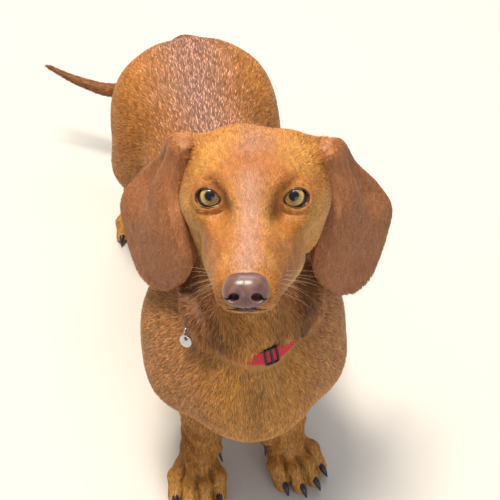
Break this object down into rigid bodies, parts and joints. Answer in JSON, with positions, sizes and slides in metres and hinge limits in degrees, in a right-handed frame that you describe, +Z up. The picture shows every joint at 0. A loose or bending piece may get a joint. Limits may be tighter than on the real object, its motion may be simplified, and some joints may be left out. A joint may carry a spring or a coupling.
{
  "type": "dog model",
  "caption": "Life-size still model of a smooth-coated dachshund standing square, head raised and turned, wearing a slim collar with a ring and disc.",
  "frame": {"origin": "on the floor, under the middle of the whole dog's bounding box", "axes": "+Z up, the nose points along -Y and the dog's left side is +X"},
  "size_m": [0.2531, 0.5593, 0.3673],
  "materials": {
    "coat": "short smooth fur",
    "pale_coat": "short smooth fur, paler on the feet",
    "dark_coat": "fine short fur, darker on the ears",
    "nose_leather": "moist, lightly pebbled",
    "eye": "clear and wet-looking",
    "claw_horn": "smooth horn",
    "red_webbing": "woven strap",
    "black_plastic": "moulded",
    "steel": "polished"
  },
  "bodies": {
    "root": {"claw_forepaw_left_1": "claw_horn", "claw_forepaw_left_2": "claw_horn", "claw_forepaw_left_3": "claw_horn", "claw_forepaw_left_4": "claw_horn", "claw_forepaw_right_1": "claw_horn", "claw_forepaw_right_2": "claw_horn", "claw_forepaw_right_3": "claw_horn", "claw_forepaw_right_4": "claw_horn", "claw_hindpaw_left_1": "claw_horn", "claw_hindpaw_left_2": "claw_horn", "claw_hindpaw_left_3": "claw_horn", "claw_hindpaw_left_4": "claw_horn", "claw_hindpaw_right_1": "claw_horn", "claw_hindpaw_right_2": "claw_horn", "claw_hindpaw_right_3": "claw_horn", "claw_hindpaw_right_4": "claw_horn", "collar": "red_webbing", "collar_buckle": "black_plastic", "collar_d_ring": "steel", "collar_slider": "black_plastic", "dewclaw_left": "claw_horn", "dewclaw_right": "claw_horn", "ear_left": "dark_coat", "ear_right": "dark_coat", "eye_left": "eye", "eye_right": "eye", "foreleg_left": "coat", "foreleg_right": "coat", "forepaw_left": "pale_coat", "forepaw_right": "pale_coat", "head": "coat", "hindleg_left": "coat", "hindleg_right": "coat", "hindpaw_left": "pale_coat", "hindpaw_right": "pale_coat", "neck": "coat", "nose": "nose_leather", "tag": "steel", "tag_ring": "steel", "tail": "coat", "torso": "coat"}
  },
  "joints": []
}
